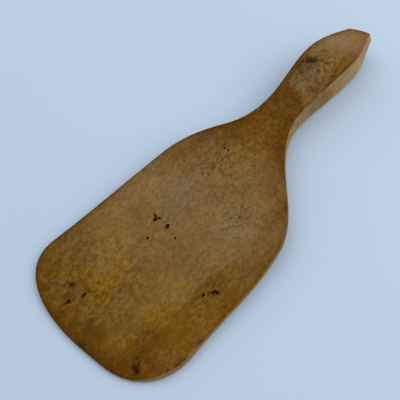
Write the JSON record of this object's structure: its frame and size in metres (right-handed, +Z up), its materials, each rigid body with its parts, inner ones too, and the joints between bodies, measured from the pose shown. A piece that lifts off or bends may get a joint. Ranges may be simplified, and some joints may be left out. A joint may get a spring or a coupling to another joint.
{
  "type": "wooden paddle scoop",
  "caption": "Hand-carved wooden paddle scoop with a broad shallow blade, a narrow neck and a swelled grip, for scooping and scraping loose feed or butter.",
  "frame": {"origin": "on the table under the middle of the scoop's bounding box", "axes": "+X from the nose of the blade to the tip of the grip, +Y to the scoop's left, +Z up from the table"},
  "size_m": [0.287, 0.1086, 0.023],
  "materials": {
    "wood": "hand-worn bare beech, brown with age, satin"
  },
  "bodies": {
    "root": {"scoop": "wood"}
  },
  "joints": []
}
